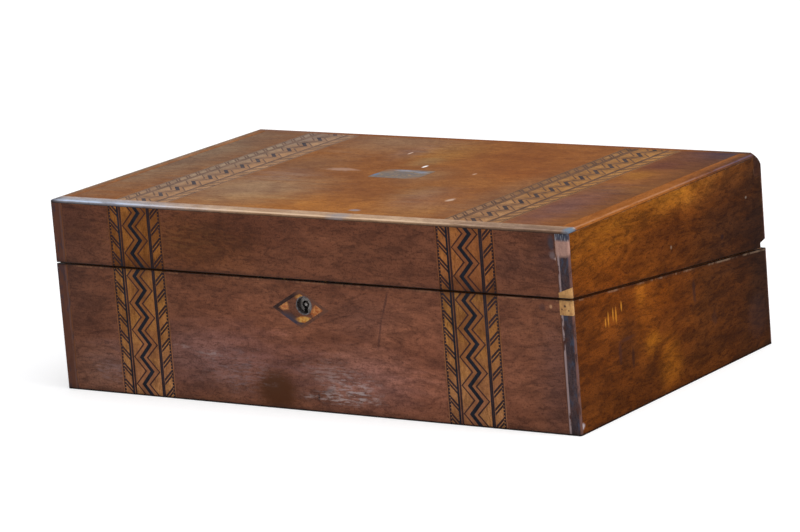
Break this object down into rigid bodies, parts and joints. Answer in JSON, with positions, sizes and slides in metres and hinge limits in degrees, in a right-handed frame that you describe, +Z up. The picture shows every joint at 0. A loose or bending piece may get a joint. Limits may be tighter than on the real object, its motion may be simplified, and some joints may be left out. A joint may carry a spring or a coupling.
{
  "type": "writing slope",
  "caption": "Hinged walnut writing slope, a low box with a sloping seam, parquetry bands, a lozenge keyhole plate, folding writing flaps, a pen tray and an ink bottle.",
  "frame": {"origin": "centre of the underside of the case", "axes": "+X along the front to the right, +Y from the lock side to the hinge side, +Z up"},
  "size_m": [0.35, 0.2123, 0.1125],
  "materials": {
    "walnut_front": "french polished, worn",
    "walnut_side": "french polished, worn",
    "walnut_top": "french polished, faded",
    "edging": "worn polish",
    "ebonised": "black stained, polished",
    "repair_wood": "bare",
    "parquetry": "polished parquetry of light and dark woods",
    "satinwood": "worn polish",
    "pearl": "polished mother of pearl",
    "iron": "dull, dark",
    "brass": "aged",
    "inner_wood": "oiled",
    "leather": "tooled skiver",
    "ink_glass": "clear"
  },
  "bodies": {
    "base": {"base_back_board": "walnut_front", "base_bottom_board": "inner_wood", "base_corner_back_left": "ebonised", "base_corner_back_right": "ebonised", "base_corner_front_left": "ebonised", "base_corner_front_right": "ebonised", "base_corner_repair": "repair_wood", "base_flap_pins": "brass", "base_front_band_left": "parquetry", "base_front_band_right": "parquetry", "base_front_board": "walnut_front", "base_left_board": "walnut_side", "base_right_board": "walnut_side", "escutcheon_border": "ebonised", "escutcheon_field": "satinwood", "hinge_base_screws": "brass", "hinge_left_base_leaf": "brass", "hinge_pins": "brass", "hinge_right_base_leaf": "brass", "ink_bottle": "ink_glass", "keyhole_liner": "iron", "lock_case": "brass", "lock_key_pin": "iron", "lock_screws": "brass", "pen_tray": "inner_wood", "tray_divider_left": "inner_wood", "tray_divider_right": "inner_wood", "tray_partition": "inner_wood"},
    "lid": {"cartouche": "pearl", "hinge_left_lid_leaf": "brass", "hinge_lid_screws": "brass", "hinge_right_lid_leaf": "brass", "lid_back_board": "walnut_front", "lid_corner_back_left": "ebonised", "lid_corner_back_right": "ebonised", "lid_corner_front_left": "ebonised", "lid_corner_front_right": "ebonised", "lid_corner_repair": "repair_wood", "lid_edge_back": "edging", "lid_edge_front": "edging", "lid_edge_left": "edging", "lid_edge_right": "edging", "lid_flap_ledge": "inner_wood", "lid_flap_pins": "brass", "lid_front_band_left": "parquetry", "lid_front_band_right": "parquetry", "lid_front_board": "walnut_front", "lid_left_board": "walnut_side", "lid_right_board": "walnut_side", "lid_striker": "brass", "lid_top_band_left": "parquetry", "lid_top_band_right": "parquetry", "lid_top_board": "walnut_top", "striker_screws": "brass"},
    "base_flap": {"base_flap_board": "inner_wood", "base_flap_leather": "leather"},
    "lid_flap": {"lid_flap_board": "inner_wood", "lid_flap_leather": "leather"},
    "bolt": {"lock_bolt": "brass"},
    "cap": {"ink_cap": "brass"}
  },
  "joints": [
    {"name": "lid_hinge", "type": "hinge", "parent": "base", "child": "lid", "pos_m": [0, 0.10515, 0.05679], "axis": [-1, 0, 0], "range_deg": [0, 180]},
    {"name": "base_flap_lift", "type": "hinge", "parent": "base", "child": "base_flap", "pos_m": [0, 0.09145, 0.05486], "axis": [-1, 0, 0], "range_deg": [0, 81]},
    {"name": "lid_flap_lift", "type": "hinge", "parent": "lid", "child": "lid_flap", "pos_m": [0, 0.09198, 0.06104], "axis": [1, 0, 0], "range_deg": [0, 81]},
    {"name": "lock_bolt_throw", "type": "slide", "parent": "base", "child": "bolt", "axis": [1, 0, 0], "range_m": [0, 0.0042]},
    {"name": "ink_cap_turn", "type": "hinge", "parent": "base", "child": "cap", "pos_m": [-0.144, -0.076, 0.0415], "axis": [0, 0, 1], "continuous": true}
  ],
  "couplings": [
    {"joint": "base_flap_lift", "follows": "lid_hinge", "ratio": 0.45},
    {"joint": "lid_flap_lift", "follows": "lid_hinge", "ratio": 0.45}
  ]
}
